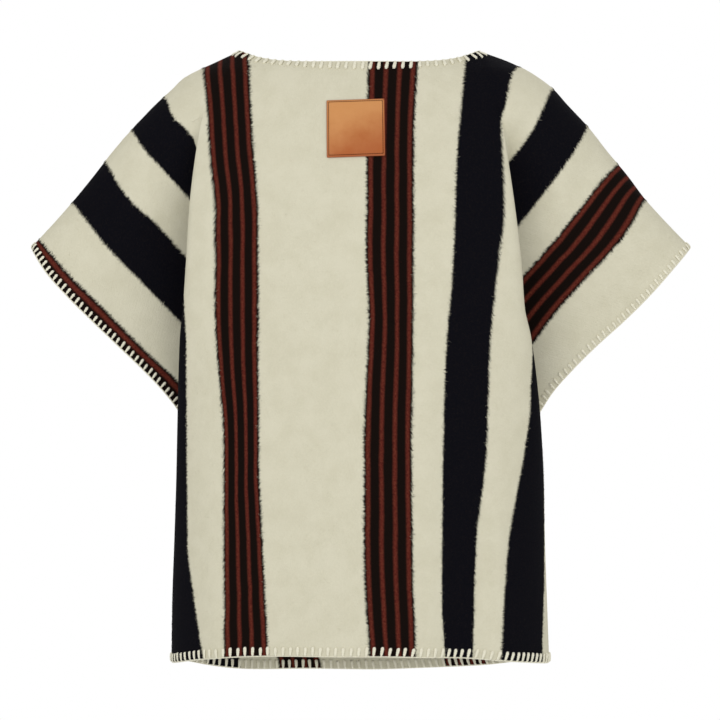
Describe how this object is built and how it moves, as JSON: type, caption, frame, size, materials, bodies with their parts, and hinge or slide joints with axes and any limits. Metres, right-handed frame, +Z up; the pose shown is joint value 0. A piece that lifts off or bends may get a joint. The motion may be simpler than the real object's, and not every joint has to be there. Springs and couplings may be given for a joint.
{
  "type": "long poncho with short wide sleeves",
  "caption": "Long hip-length poncho of thick brushed wool with a boat neck, wide short sleeves, stripes and a square leather patch, hollow and open at neck, cuffs and hem.",
  "frame": {"origin": "midway between the two neck corners, on the shoulder line, where the wearer's shoulders hold the garment", "axes": "+Z up, -Y towards the side with the patch, called the front, and +X to the right in a view of the front"},
  "size_m": [0.8687, 0.3296, 0.8252],
  "materials": {
    "striped_wool": "thick brushed wool, cream with black and rust stripes",
    "stitch_yarn": "soft cream yarn in blanket stitch",
    "leather": "smooth vegetable tanned leather with a low sheen",
    "patch_thread": "fine waxed dark brown thread"
  },
  "bodies": {
    "root": {"front_panel": "striped_wool", "back_panel": "striped_wool", "leather_patch": "leather"}
  },
  "joints": []
}
